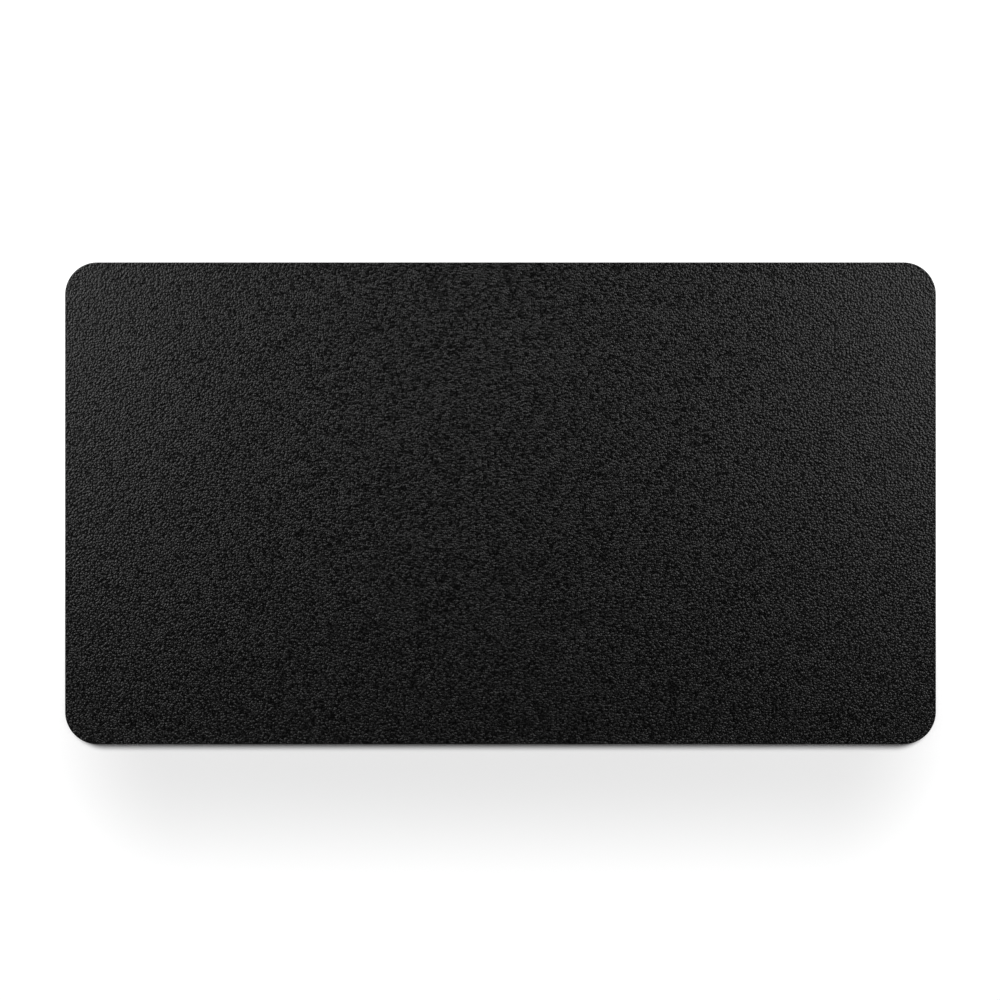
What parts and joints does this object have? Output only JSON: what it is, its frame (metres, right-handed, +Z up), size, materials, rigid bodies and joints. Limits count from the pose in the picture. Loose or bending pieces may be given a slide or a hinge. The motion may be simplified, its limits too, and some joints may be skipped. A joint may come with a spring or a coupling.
{
  "type": "desk mat",
  "caption": "Flat rectangular desk mat with round corners: a grained leather-look face bonded over foam, cloth and felt on a non-slip suede base.",
  "frame": {"origin": "centre of the underside, on the desk", "axes": "+X along the length to the right, +Y from the front edge to the back edge, +Z up from the desk"},
  "size_m": [0.9, 0.498, 0.002],
  "materials": {
    "grained_skin": "satin",
    "foam": "matte",
    "woven_cloth": "matte",
    "hot_melt_glue": "satin",
    "felt": "matte",
    "suede": "matte"
  },
  "bodies": {
    "root": {"grain_skin": "grained_skin", "foam_layer": "foam", "backing_cloth": "woven_cloth", "upper_glue_film": "hot_melt_glue", "felt_core": "felt", "lower_glue_film": "hot_melt_glue", "suede_base": "suede"}
  },
  "joints": []
}
